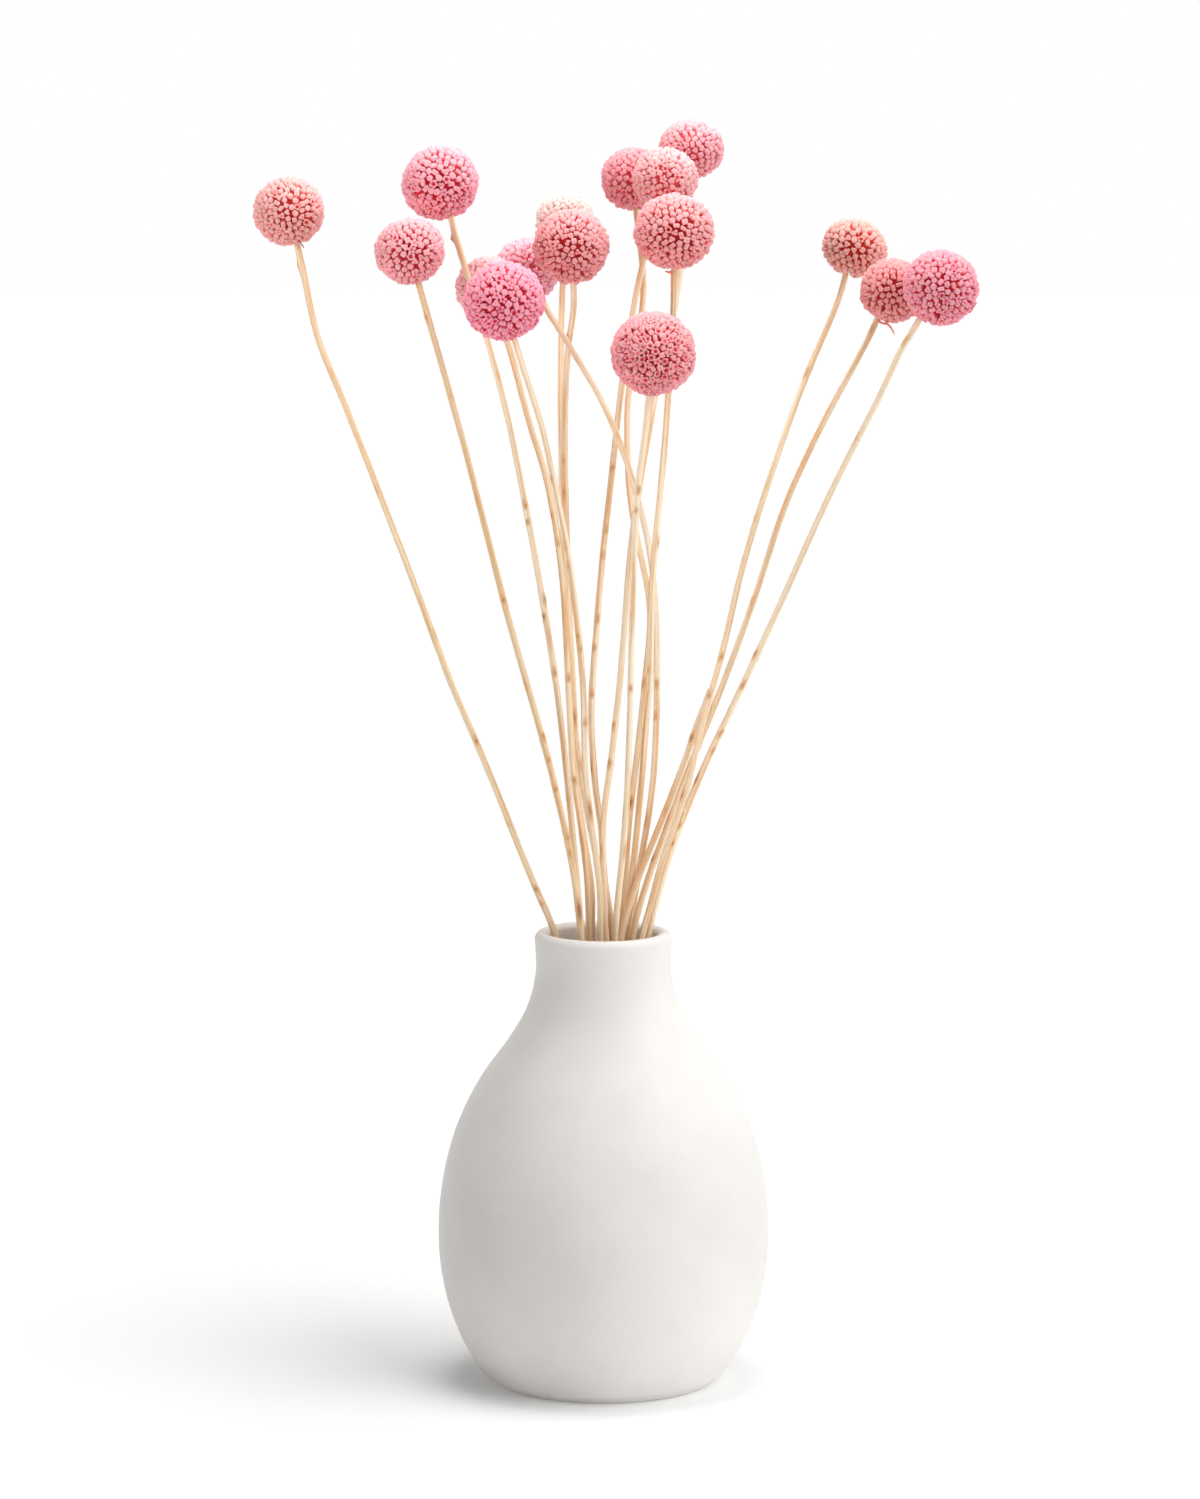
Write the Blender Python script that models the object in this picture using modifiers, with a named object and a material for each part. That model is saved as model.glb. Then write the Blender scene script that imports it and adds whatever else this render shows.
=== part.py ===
# Vase of dried billy buttons.
# A matt ceramic vase holds sixteen round flower heads on thin straw-coloured stems, and one bare stem.
# The origin is the middle of the vase's foot, +Z is up, -Y is the front and +X is to the right.
# Sizes are given in millimetres and turned into Blender's metres by MM.

import math
import random
from collections import namedtuple

import bmesh
import bpy
from mathutils import Vector

MM = 0.001
GAP = 0.3
SAME_POINT = 0.05

# Vase: half-widths and heights of the outer side, from the neck down to the foot.
VASE_STEPS = 40
NECK_RADIUS = 23.8
LIP_HEIGHT = 158.1
LIP_ROUNDING = 2.5
FOOT_RADIUS = 38.0
BELLY_RADIUS = 57.5
BELLY_HEIGHT = 53.0
VASE_SIDE = (
    (NECK_RADIUS, LIP_HEIGHT - LIP_ROUNDING),
    (23.5, 144.0),
    (26.6, 131.3),
    (33.0, 120.0),
    (42.0, 107.5),
    (50.8, 90.0),
    (55.9, 71.0),
    (BELLY_RADIUS, BELLY_HEIGHT),
    (56.3, 37.0),
    (52.6, 22.5),
    (46.9, 10.0),
    (42.3, 3.2),
    (FOOT_RADIUS, 0.0),
)
VASE_WALL = 4.8
VASE_FLOOR = 6.0
FLOOR_RADIUS = 34.0
FLOOR_BEND = 3.0
SIDE_SAMPLES = 2
INNER_SAMPLES = 1
LIP_SAMPLES = 5

# Stems
STEM_RADIUS = 1.25
STEM_ROUNDING = 1
STEM_STEP = 5.0
STEM_TOLERANCE = 0.12
STEM_FOOT = VASE_FLOOR + GAP + STEM_TOLERANCE
BELOW_MOUTH = 120.0
FOOT_SPREAD = 1.25
NECK_BELOW_HEAD = 1.2

# Heads: a ball of florets, with a plain hole below for the stem.
FLORET_SEEDS = 84
FLORET_DEPTH = 1.0
FLORET_JITTER = 0.25
SOCKET_DEPTH = 2.8
SOCKET_RADIUS = 1.75
SOCKET_SIDES = 8

# Widths and heights of the flowers are read in the upright plane through the vase's axis,
# as seen from this eye point. A thing nearer or farther than that plane slides along its sight line.
EYE = Vector((-1.2, -2013.0, 508.0))

CERAMIC = (0.84, 0.81, 0.78, 1.0)
CERAMIC_ROUGHNESS = 0.45
STRAW = (0.72, 0.50, 0.32, 1.0)
STRAW_ROUGHNESS = 0.75
FLORET_ROUGHNESS = 0.85
TINTS = {
    "salmon": (0.72, 0.30, 0.24, 1.0),
    "pink": (0.76, 0.22, 0.27, 1.0),
    "rose": (0.66, 0.18, 0.20, 1.0),
    "pale": (0.78, 0.46, 0.40, 1.0),
}

# Each flower: its tint, its head's middle as (across, up, depth), its head's width and height,
# and its stem's bends from the head down to the vase's mouth, as (across, up, depth).
Flower = namedtuple("Flower", "tint middle width height bends")
FLOWERS = (
    Flower("salmon", (-107.0, 406.5, -4.0), 25.0, 24.0, (
        (-102.5, 387.0, -4.0), (-97.5, 363.5, -4.0), (-88.5, 341.0, -4.0), (-63.0, 273.5, -3.0),
        (-52.0, 243.5, -2.5), (-38.0, 210.0, -2.0), (-23.0, 172.0, -1.5), (-17.0, 157.5, -1.0))),
    Flower("pink", (-66.0, 393.0, -30.0), 24.2, 22.8, (
        (-61.5, 376.5, -29.0), (-47.5, 326.5, -25.0), (-33.0, 268.0, -19.0), (-17.0, 209.5, -13.0),
        (-11.5, 184.5, -11.0), (-8.0, 157.0, -9.0))),
    Flower("pink", (-55.5, 416.0, -12.0), 26.6, 25.6, (
        (-48.0, 390.0, -18.0), (-40.0, 363.5, -20.0), (-34.5, 343.0, -19.0), (-25.0, 297.0, -15.0),
        (-18.5, 260.0, -12.0), (-12.0, 208.5, -7.5), (-9.0, 176.0, -5.0), (-7.5, 157.0, -4.5))),
    Flower("pale", (-39.5, 380.5, -3.0), 22.6, 21.8, (
        (-33.0, 362.5, -3.0), (-25.0, 333.0, -4.0), (-20.0, 317.0, -5.0), (-17.5, 305.5, -5.0),
        (-14.0, 279.0, -5.0), (-12.0, 242.0, -3.0), (-10.0, 211.0, -1.5), (-7.0, 190.0, -1.0),
        (-5.5, 176.0, -0.5), (-5.0, 157.0, -0.5))),
    Flower("pink", (-34.0, 376.0, -40.0), 27.8, 27.2, (
        (-28.5, 356.0, -38.0), (-20.5, 330.0, -34.0), (-17.5, 317.0, -31.0), (-14.0, 300.0, -28.0),
        (-10.0, 271.5, -22.0), (-7.0, 242.0, -16.0), (-6.0, 211.0, -12.0), (-4.5, 198.5, -11.0),
        (-2.0, 180.0, -9.0), (-1.0, 169.0, -8.0), (-1.0, 157.0, -7.0))),
    Flower("pink", (-26.0, 386.5, 17.0), 23.2, 22.4, (
        (-20.0, 374.5, 9.0), (-12.0, 361.5, -1.0), (0.5, 340.0, -1.0), (10.0, 314.5, 0.0),
        (16.0, 290.5, 1.0), (18.5, 259.5, 3.0), (18.5, 237.0, 4.0), (15.5, 197.0, 5.0),
        (13.0, 183.0, 6.0), (9.0, 157.0, 6.5))),
    Flower("pale", (-13.0, 403.0, 36.0), 20.8, 20.4, (
        (-14.0, 376.5, 32.0), (-14.5, 339.0, 27.0), (-14.0, 301.0, 21.0), (-12.0, 242.0, 12.0),
        (-10.0, 211.0, 9.0), (-6.5, 188.0, 8.0), (-4.0, 172.5, 7.5), (-4.0, 157.0, 7.0))),
    Flower("rose", (-11.0, 394.5, -8.0), 26.4, 26.0, (
        (-10.0, 376.5, -3.0), (-12.0, 360.5, 3.5), (-13.5, 326.5, 4.0), (-12.5, 292.5, 4.0),
        (-10.5, 245.5, 3.5), (-9.5, 225.0, 3.5), (-6.5, 204.0, 3.0), (-3.0, 186.5, 2.5),
        (-0.5, 172.5, 2.5), (0.0, 157.0, 2.5))),
    Flower("rose", (10.0, 417.5, 48.0), 23.0, 22.4, (
        (13.5, 381.5, 41.0), (8.5, 342.0, 34.0), (9.0, 309.5, 31.0), (16.0, 266.5, 25.0),
        (14.0, 244.0, 21.0), (11.5, 218.0, 17.0), (8.5, 190.0, 13.0), (8.0, 176.0, 12.0),
        (5.5, 157.0, 10.0))),
    Flower("pink", (17.0, 358.0, -46.0), 29.2, 28.8, (
        (15.0, 338.5, -43.0), (12.0, 314.5, -38.0), (10.0, 266.5, -29.0), (9.0, 232.0, -21.0),
        (8.0, 204.0, -16.0), (6.5, 183.0, -12.0), (4.0, 157.0, -8.0))),
    Flower("salmon", (21.0, 417.5, 16.0), 23.2, 22.2, (
        (13.5, 390.0, 14.5), (6.5, 348.5, 12.0), (2.0, 308.0, 10.0), (-2.5, 263.0, 8.0),
        (-4.0, 223.0, 7.5), (-2.5, 205.0, 7.0), (-1.0, 196.0, 7.0), (0.5, 176.0, 6.5),
        (3.0, 157.0, 6.0))),
    Flower("rose", (24.0, 399.5, -10.0), 27.8, 26.2, (
        (24.0, 372.0, -9.0), (21.5, 333.0, -7.0), (16.5, 273.5, -5.0), (16.0, 245.5, -4.0),
        (14.5, 225.0, -3.0), (11.0, 190.0, -0.5), (9.5, 176.0, 0.5), (7.5, 157.0, 1.5))),
    Flower("pink", (30.0, 427.5, 39.0), 23.4, 20.8, (
        (26.5, 387.0, 33.0), (17.5, 343.0, 26.0), (10.0, 297.5, 17.0), (5.5, 245.5, 8.0),
        (2.5, 218.0, 4.0), (0.0, 197.0, 1.0), (0.0, 179.5, -1.0), (1.0, 157.0, -1.5))),
    Flower("salmon", (85.5, 394.0, 26.0), 23.0, 20.4, (
        (80.5, 377.5, 24.0), (69.5, 351.5, 21.0), (58.5, 320.0, 18.0), (47.5, 283.5, 13.0),
        (40.0, 252.5, 7.0), (32.5, 225.0, 1.0), (29.5, 211.0, -1.0), (25.5, 197.0, -3.0),
        (20.5, 183.0, -5.0), (17.0, 169.0, -6.0), (13.5, 157.0, -7.0))),
    Flower("rose", (98.5, 379.5, 2.0), 22.8, 22.4, (
        (91.0, 364.5, 3.0), (78.0, 340.0, 4.0), (63.0, 307.5, 5.0), (50.5, 270.0, 8.0),
        (41.5, 245.5, 10.0), (30.5, 218.0, 8.5), (20.0, 190.0, 4.0), (15.0, 176.0, 2.0),
        (10.0, 157.0, -0.5))),
    Flower("pink", (115.0, 380.5, -24.0), 26.4, 25.8, (
        (103.0, 362.0, -19.0), (95.0, 344.5, -15.0), (77.0, 309.0, -6.0), (62.5, 276.0, 2.0),
        (45.5, 238.5, 8.5), (33.0, 211.0, 8.5), (22.5, 183.0, 6.0), (19.0, 170.5, 5.0),
        (15.5, 157.0, 4.0))),
)

# The stem without a head ends just behind the stem of the third flower from the right.
BARE_STEM = (
    (37.5, 243.0, 9.0), (33.0, 232.0, 7.0), (28.5, 218.0, 4.5), (23.0, 204.0, 2.0),
    (17.5, 190.0, 0.0), (12.0, 176.0, -1.5), (6.5, 157.0, -3.0))

# The leftmost stem slants most, so it swings in under the lip before it goes down to the vase's floor.
SWING_IN = {0: ((-12.5, -1.0, 128.0), (-16.0, -1.5, STEM_FOOT))}


def clear_scene():
    for item in list(bpy.data.objects):
        bpy.data.objects.remove(item)


def new_collection(name):
    collection = bpy.data.collections.new(name)
    bpy.context.scene.collection.children.link(collection)
    return collection


def new_material(name, color, roughness):
    material = bpy.data.materials.new(name)
    material.use_nodes = True
    shader = material.node_tree.nodes["Principled BSDF"]
    shader.inputs["Base Color"].default_value = color
    shader.inputs["Roughness"].default_value = roughness
    shader.inputs["Metallic"].default_value = 0.0
    return material


def along_sight(measured):
    # Slides a point measured in the axis plane along its sight line to its own depth.
    across, up, depth = measured
    flat = Vector((across, 0.0, up))
    return EYE + (flat - EYE) * ((depth - EYE.y) / -EYE.y)


def smooth_path(knots, samples):
    # Runs a smooth curve through the knots, with tangents weighted by the knots' spacing.
    knots = [Vector(knot) for knot in knots]
    first = 2.0 * knots[0] - knots[1]
    last = 2.0 * knots[-1] - knots[-2]
    chain = [first] + knots + [last]
    path = []
    for before, start, end, after in zip(chain, chain[1:], chain[2:], chain[3:]):
        span = (end - start).length
        lead = (start - before).length
        trail = (after - end).length
        slope_in = ((start - before) * (span / lead) + (end - start) * (lead / span)) * (span / (lead + span))
        slope_out = ((end - start) * (trail / span) + (after - end) * (span / trail)) * (span / (span + trail))
        count = samples(span)
        for index in range(count):
            t = index / count
            point = start * (2 * t ** 3 - 3 * t ** 2 + 1) + slope_in * (t ** 3 - 2 * t ** 2 + t)
            point += end * (3 * t ** 2 - 2 * t ** 3) + slope_out * (t ** 3 - t ** 2)
            path.append(point)
    path.append(knots[-1])
    return path


def thin_out(path, tolerance):
    # Keeps only the points that the path's bends need.
    start = path[0]
    end = path[-1]
    line = (end - start).normalized()
    offsets = [(point - start - line * (point - start).dot(line)).length for point in path]
    worst = max(range(len(path)), key=offsets.__getitem__)
    if offsets[worst] < tolerance:
        return [start, end]
    return thin_out(path[:worst + 1], tolerance)[:-1] + thin_out(path[worst:], tolerance)


def vase_outline():
    # Goes up the inside from the vase's floor, over the lip, down the outside and in to the axis.
    knots = [(radius, height, 0.0) for radius, height in VASE_SIDE]
    side = smooth_path(knots, lambda span: SIDE_SAMPLES)
    shell = smooth_path(knots, lambda span: INNER_SAMPLES)
    inner = []
    for above, point, below in zip(shell, shell[1:], shell[2:]):
        run = (below - above).normalized()
        inward = Vector((run.y, -run.x, 0.0))
        wall_point = point + inward * VASE_WALL
        if wall_point.y > VASE_FLOOR + FLOOR_BEND:
            inner.append(wall_point)
    lip_middle = Vector((NECK_RADIUS - LIP_ROUNDING, LIP_HEIGHT - LIP_ROUNDING, 0.0))
    lip = []
    for index in range(LIP_SAMPLES):
        angle = math.pi * (1.0 - index / LIP_SAMPLES)
        lip.append(lip_middle + LIP_ROUNDING * Vector((math.cos(angle), math.sin(angle), 0.0)))
    floor = [Vector((0.0, VASE_FLOOR, 0.0)), Vector((FLOOR_RADIUS, VASE_FLOOR, 0.0))]
    return floor + inner[::-1] + lip + side + [Vector((0.0, 0.0, 0.0))]


def make_vase(collection, material):
    outline = vase_outline()
    mesh = bpy.data.meshes.new("vase")
    corners = [(point.x * MM, 0.0, point.y * MM) for point in outline]
    edges = [(index, index + 1) for index in range(len(corners) - 1)]
    mesh.from_pydata(corners, edges, [])
    vase = bpy.data.objects.new("vase", mesh)
    collection.objects.link(vase)
    screw = vase.modifiers.new("Turn", "SCREW")
    screw.axis = "Z"
    screw.steps = VASE_STEPS
    screw.render_steps = VASE_STEPS
    screw.use_merge_vertices = True
    screw.merge_threshold = SAME_POINT * MM
    screw.use_smooth_shade = True
    mesh.materials.append(material)
    return vase


def stem_below_mouth(number, mouth):
    # Inside the vase each stem goes down to the floor and spreads a little, so that none of them cross.
    if number in SWING_IN:
        return [Vector(point) for point in SWING_IN[number]]
    below = Vector((mouth.x, mouth.y, BELOW_MOUTH))
    foot = Vector((mouth.x * FOOT_SPREAD, mouth.y * FOOT_SPREAD, STEM_FOOT))
    return [below, foot]


def make_stem(name, knots, collection, material):
    path = smooth_path(knots, lambda span: max(1, round(span / STEM_STEP)))
    path = thin_out(path, STEM_TOLERANCE)
    curve = bpy.data.curves.new(name, "CURVE")
    curve.dimensions = "3D"
    curve.bevel_depth = STEM_RADIUS * MM
    curve.bevel_resolution = STEM_ROUNDING
    curve.use_fill_caps = True
    spline = curve.splines.new("POLY")
    spline.points.add(len(path) - 1)
    for slot, point in zip(spline.points, path):
        slot.co = (*(point * MM), 1.0)
    curve.materials.append(material)
    stem = bpy.data.objects.new(name, curve)
    collection.objects.link(stem)
    return stem


def floret_ball(name, width, height, seed):
    # Points spread evenly over a ball are joined into three-sided faces, and each face rises to a floret's tip.
    draw = random.Random(seed)
    turn = draw.uniform(0.0, 2.0 * math.pi)
    valley = 1.0 - 2.0 * FLORET_DEPTH / width
    ball = bmesh.new()
    for index in range(FLORET_SEEDS):
        up = 1.0 - (2.0 * index + 1.0) / FLORET_SEEDS
        angle = turn + index * math.pi * (3.0 - math.sqrt(5.0))
        ring = math.sqrt(1.0 - up * up)
        ball.verts.new(valley * Vector((ring * math.cos(angle), ring * math.sin(angle), up)))
    bmesh.ops.convex_hull(ball, input=ball.verts)
    raised = bmesh.ops.poke(ball, faces=ball.faces[:])["verts"]
    for tip in raised:
        reach = 1.0 - draw.uniform(0.0, FLORET_JITTER) * (1.0 - valley)
        tip.co = tip.co.normalized() * reach
    bmesh.ops.scale(ball, vec=(width / 2.0 * MM, width / 2.0 * MM, height / 2.0 * MM), verts=ball.verts)
    bmesh.ops.recalc_face_normals(ball, faces=ball.faces)
    mesh = bpy.data.meshes.new(name)
    ball.to_mesh(mesh)
    ball.free()
    return mesh


def make_socket(name, flower, cutters):
    # The cutter for the hole in the underside of a head that its stem stands in.
    reach = flower.height / 2.0
    bpy.ops.mesh.primitive_cylinder_add(
        vertices=SOCKET_SIDES, radius=SOCKET_RADIUS * MM, depth=2.0 * SOCKET_DEPTH * MM,
        location=(0.0, 0.0, 0.0))
    cutter = bpy.context.object
    cutter.name = name
    for vertex in cutter.data.vertices:
        vertex.co.z -= reach * MM
    for holder in list(cutter.users_collection):
        holder.objects.unlink(cutter)
    cutters.objects.link(cutter)
    cutter.hide_render = True
    cutter.display_type = "WIRE"
    return cutter


def make_head(label, flower, seed, middle, downward, collection, cutters, material):
    mesh = floret_ball("head_" + label, flower.width, flower.height, seed)
    mesh.materials.append(material)
    head = bpy.data.objects.new("head_" + label, mesh)
    collection.objects.link(head)
    cutter = make_socket("socket_" + label, flower, cutters)
    cutter.parent = head
    head.location = middle * MM
    head.rotation_mode = "QUATERNION"
    head.rotation_quaternion = (-downward).to_track_quat("Z", "Y")
    cut = head.modifiers.new("Socket", "BOOLEAN")
    cut.operation = "DIFFERENCE"
    cut.solver = "EXACT"
    cut.object = cutter
    return head


def make_flower(number, flower, collection, cutters, head_material, stem_material):
    label = f"{number + 1:02d}"
    middle = along_sight(flower.middle)
    bends = [along_sight(bend) for bend in flower.bends]
    downward = (bends[0] - middle).normalized()
    half = flower.height / 2.0
    top = middle + downward * (half - SOCKET_DEPTH + GAP)
    neck = middle + downward * (half + NECK_BELOW_HEAD)
    knots = [top, neck] + bends + stem_below_mouth(number, bends[-1])
    make_stem("stem_" + label, knots, collection, stem_material)
    make_head(label, flower, number, middle, downward, collection, cutters, head_material)


def main():
    clear_scene()
    parts = new_collection("vase_of_billy_buttons")
    cutters = new_collection("cutters")
    ceramic = new_material("vase_ceramic", CERAMIC, CERAMIC_ROUGHNESS)
    straw = new_material("stem_straw", STRAW, STRAW_ROUGHNESS)
    florets = {tint: new_material("head_" + tint, color, FLORET_ROUGHNESS) for tint, color in TINTS.items()}
    make_vase(parts, ceramic)
    for number, flower in enumerate(FLOWERS):
        make_flower(number, flower, parts, cutters, florets[flower.tint], straw)
    bare = [along_sight(bend) for bend in BARE_STEM]
    bare_number = len(FLOWERS)
    bare += stem_below_mouth(bare_number, bare[-1])
    make_stem(f"stem_{bare_number + 1:02d}", bare, parts, straw)


main()
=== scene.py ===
# Looks of the vase of dried billy buttons: a matt ceramic vase, straw stems and sixteen dyed flower heads.
# Lengths and places are given in millimetres and turned into Blender's metres by MM. Patterns, bumps, the
# stage and its glow are in metres.

import math
import random
from collections import namedtuple

import bpy
import numpy as np
from mathutils import Matrix, Quaternion, Vector


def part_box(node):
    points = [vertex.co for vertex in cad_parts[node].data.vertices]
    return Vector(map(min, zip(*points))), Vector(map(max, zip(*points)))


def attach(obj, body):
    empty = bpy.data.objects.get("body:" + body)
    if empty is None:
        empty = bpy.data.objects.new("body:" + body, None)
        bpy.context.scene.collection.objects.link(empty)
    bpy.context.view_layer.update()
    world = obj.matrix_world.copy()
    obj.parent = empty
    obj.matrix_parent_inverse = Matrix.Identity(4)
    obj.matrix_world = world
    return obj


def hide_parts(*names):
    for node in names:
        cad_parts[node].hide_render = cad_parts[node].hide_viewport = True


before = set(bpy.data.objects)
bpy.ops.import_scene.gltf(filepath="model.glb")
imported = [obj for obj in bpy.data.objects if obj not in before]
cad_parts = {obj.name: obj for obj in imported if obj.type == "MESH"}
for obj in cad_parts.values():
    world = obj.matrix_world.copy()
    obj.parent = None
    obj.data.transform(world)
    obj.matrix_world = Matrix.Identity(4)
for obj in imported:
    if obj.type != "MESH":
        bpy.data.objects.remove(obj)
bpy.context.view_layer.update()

MM = 0.001
BODY = "root"

# Camera: fitted to the foot and the mouth of the vase in the photograph.
PHOTO_HEIGHT_PIXELS = 1499
FOCAL_PIXELS = 5900
SENSOR_SIZE = 36.0
EYE = Vector((-1.2, -2013.0, 508.0))
LOOKING_DOWN = math.radians(8.1)

# Vase: half-widths and heights of the outer side, from the neck down to the foot.
NECK_RADIUS = 23.8
LIP_HEIGHT = 158.1
LIP_ROUNDING = 2.5
FOOT_RADIUS = 38.0
VASE_SIDE = (
    (NECK_RADIUS, LIP_HEIGHT - LIP_ROUNDING), (23.5, 144.0), (26.6, 131.3), (33.0, 120.0),
    (42.0, 107.5), (50.8, 90.0), (55.9, 71.0), (57.5, 53.0), (56.3, 37.0), (52.6, 22.5),
    (46.9, 10.0), (42.3, 3.2), (FOOT_RADIUS, 0.0))
VASE_WALL = 4.8
VASE_FLOOR = 6.0
FLOOR_RADIUS = 34.0
FLOOR_BEND = 3.0
VASE_FACETS = 128
SIDE_STEPS = 6
LIP_STEPS = 12
FOOT_RING_WIDTH = 5.0
FOOT_HOLLOW_DEPTH = 1.2
VASE_SMOOTH_ANGLE = math.radians(50.0)
FOOT_LEVEL = 0.01
FOOT_CENTRE_INSET = 0.3

# Stems: a straw is round with weak ribs, tapers upwards, swells at its marks and turns at its joints.
STEM_RADIUS = 1.25
STEM_FACETS = 8
STEM_RINGS = 110
STEM_RIBS = 3.0
STEM_RIB = 0.05
RIB_TWIST = 0.01
STEM_TAPER = 0.10
CENTRE_STEP = 6.0
LINE_STEPS = 4
JOINT_SPACING = (20.0, 45.0)
KINK = 0.3
CALM_LENGTH = 25.0
MARK_SWELL = 0.12
MARK_SWELL_LENGTH = 2.5
MARK_LENGTH_SHARE = 0.8
MARK_FOCUS = 2.5
STUB_FOCUS = 3
LEAST_REACH = 0.1
STRAW_SEED = 100

# Marks at the back of a straw, out of the photograph's sight, are placed by chance.
HIDDEN_MARK_START = (20.0, 40.0)
HIDDEN_MARK_STEP = 30.0
HIDDEN_MARK_SHIFT = 9.0
HIDDEN_MARK_TOP_GAP = 8.0
HIDDEN_MARK_SIDES = (0.15 * math.pi, 0.85 * math.pi)
HIDDEN_MARK_LENGTHS = (1.6, 3.5)
HIDDEN_MARK_DEPTHS = (0.4, 0.9)

# Florets: the small knobs that cover a head. Chance takes a size from each pair of numbers: shares of the
# usual length, width and reach of a corner, shares of the head's half width that a floret sits in or out,
# and the millimetres that a corner of its crown, above CROWN_LEVEL, sits low or high.
FLORET_LENGTH = 3.2
FLORET_LENGTHS = (0.94, 1.05)
FLORET_WIDTHS = (0.88, 1.10)
FLORET_CORNERS = (0.90, 1.10)
FLORET_SEATS = (-0.035, 0.02)
CROWN_LEVEL = 0.8
CROWN_STEPS = (-0.16, 0.12)
FLORET_LEAN = math.radians(7.0)
LEAN_SHARE = 0.6
FLORET_JITTER = 0.45
SPREAD_STEPS = 14
SPREAD_PUSH = 0.25
# A floret's tone is partly chance and partly painted light: higher where it faces up, lower where it faces
# down.
TONE_BY_CHANCE = 0.45
TONE_BY_PAINTED_LIGHT = 0.55
SOFT_LIGHT = 0.55
CORE_DEPTH = 1.9
STEM_CLEARING = 2.0

# Studio: cool suns and warm softboxes. A sun has its turn from the front to the right, its height, its
# strength and its spread, and a softbox its place, the spot it faces, its width, its power and its spread.
# Angles are in degrees.
Sun = namedtuple("Sun", "name around height strength spread")
SUNS = (
    Sun("key_light", 58.0, 38.0, 0.9, 50.0),
    Sun("broad_light", 75.0, 25.0, 1.7, 90.0),
    Sun("back_light", 180.0, 35.0, 0.28, 90.0))
Softbox = namedtuple("Softbox", "name place aim size power spread")
SOFTBOXES = (
    Softbox("top_softbox", (0.0, 0.0, 950.0), (0.0, 0.0, 0.0), 500.0, 4.95, 180.0),
    Softbox("left_softbox", (-450.0, -250.0, 550.0), (0.0, 0.0, 380.0), 350.0, 0.36, 180.0),
    Softbox("flower_softbox", (-480.0, -300.0, 460.0), (0.0, 0.0, 400.0), 200.0, 0.07, 55.0))
SUN_COLOR = (0.985, 0.995, 1.0)
SOFTBOX_COLOR = (1.0, 0.982, 0.965)
SKY_COLOR = (1.0, 0.995, 0.99, 1.0)
SKY_STRENGTH = 0.01

# Stage: a white floor that glows more the further it is from the vase, inside a lit backdrop.
STAGE_RADIUS = 6.0
STAGE_DROP = 0.0001
BACKDROP_RADIUS = STAGE_RADIUS * 1.02
FLOOR_WHITE = (0.93, 0.93, 0.93, 1.0)
SOFTBOX_REACH = 0.95
NEAR_GLOW = 0.12
FAR_GLOW = 0.58
BLACK = (0.0, 0.0, 0.0, 1.0)
WHITE = (1.0, 1.0, 1.0, 1.0)


def start_fresh():
    # An operator acts on all that is selected, and the loaded CAD nodes are selected.
    if bpy.context.object and bpy.context.object.mode != "OBJECT":
        bpy.ops.object.mode_set(mode="OBJECT")
    bpy.ops.object.select_all(action="DESELECT")


def open_for_editing(piece, mode="FACE"):
    start_fresh()
    piece.select_set(True)
    bpy.context.view_layer.objects.active = piece
    bpy.ops.object.mode_set(mode="EDIT")
    bpy.ops.mesh.select_mode(type=mode)


def smooth_path(knots, samples):
    # Runs a smooth curve through the knots, with tangents weighted by the knots' spacing.
    knots = [Vector(knot) for knot in knots]
    chain = [2.0 * knots[0] - knots[1]] + knots + [2.0 * knots[-1] - knots[-2]]
    path = []
    for before, start, end, after in zip(chain, chain[1:], chain[2:], chain[3:]):
        span = (end - start).length
        lead = (start - before).length
        trail = (after - end).length
        slope_in = (start - before) * (span / lead) + (end - start) * (lead / span)
        slope_in = slope_in * (span / (lead + span))
        slope_out = (end - start) * (trail / span) + (after - end) * (span / trail)
        slope_out = slope_out * (span / (span + trail))
        for index in range(samples):
            t = index / samples
            point = start * (2 * t ** 3 - 3 * t ** 2 + 1) + slope_in * (t ** 3 - 2 * t ** 2 + t)
            point += end * (3 * t ** 2 - 2 * t ** 3) + slope_out * (t ** 3 - t ** 2)
            path.append(point)
    path.append(knots[-1])
    return path


class Value:
    """A number that varies over a surface: Python's operators add Math nodes to its tree."""

    def __init__(self, nodes, socket):
        self.nodes = nodes
        self.socket = socket

    def math(self, operation, *others, swapped=False):
        terms = [self, *others]
        if swapped:
            terms.reverse()
        inputs = dict(enumerate(terms))
        return self.nodes.add("ShaderNodeMath", {"operation": operation}, inputs)

    def __add__(self, other):
        return self.math("ADD", other)

    def __radd__(self, other):
        return self.math("ADD", other)

    def __sub__(self, other):
        return self.math("SUBTRACT", other)

    def __rsub__(self, other):
        return self.math("SUBTRACT", other, swapped=True)

    def __mul__(self, other):
        return self.math("MULTIPLY", other)

    def __rmul__(self, other):
        return self.math("MULTIPLY", other)

    def __truediv__(self, other):
        return self.math("DIVIDE", other)

    def __rtruediv__(self, other):
        return self.math("DIVIDE", other, swapped=True)

    def __pow__(self, other):
        return self.math("POWER", other)

    def clamp(self):
        return self.nodes.add("ShaderNodeClamp", {}, {"Value": self})


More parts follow.
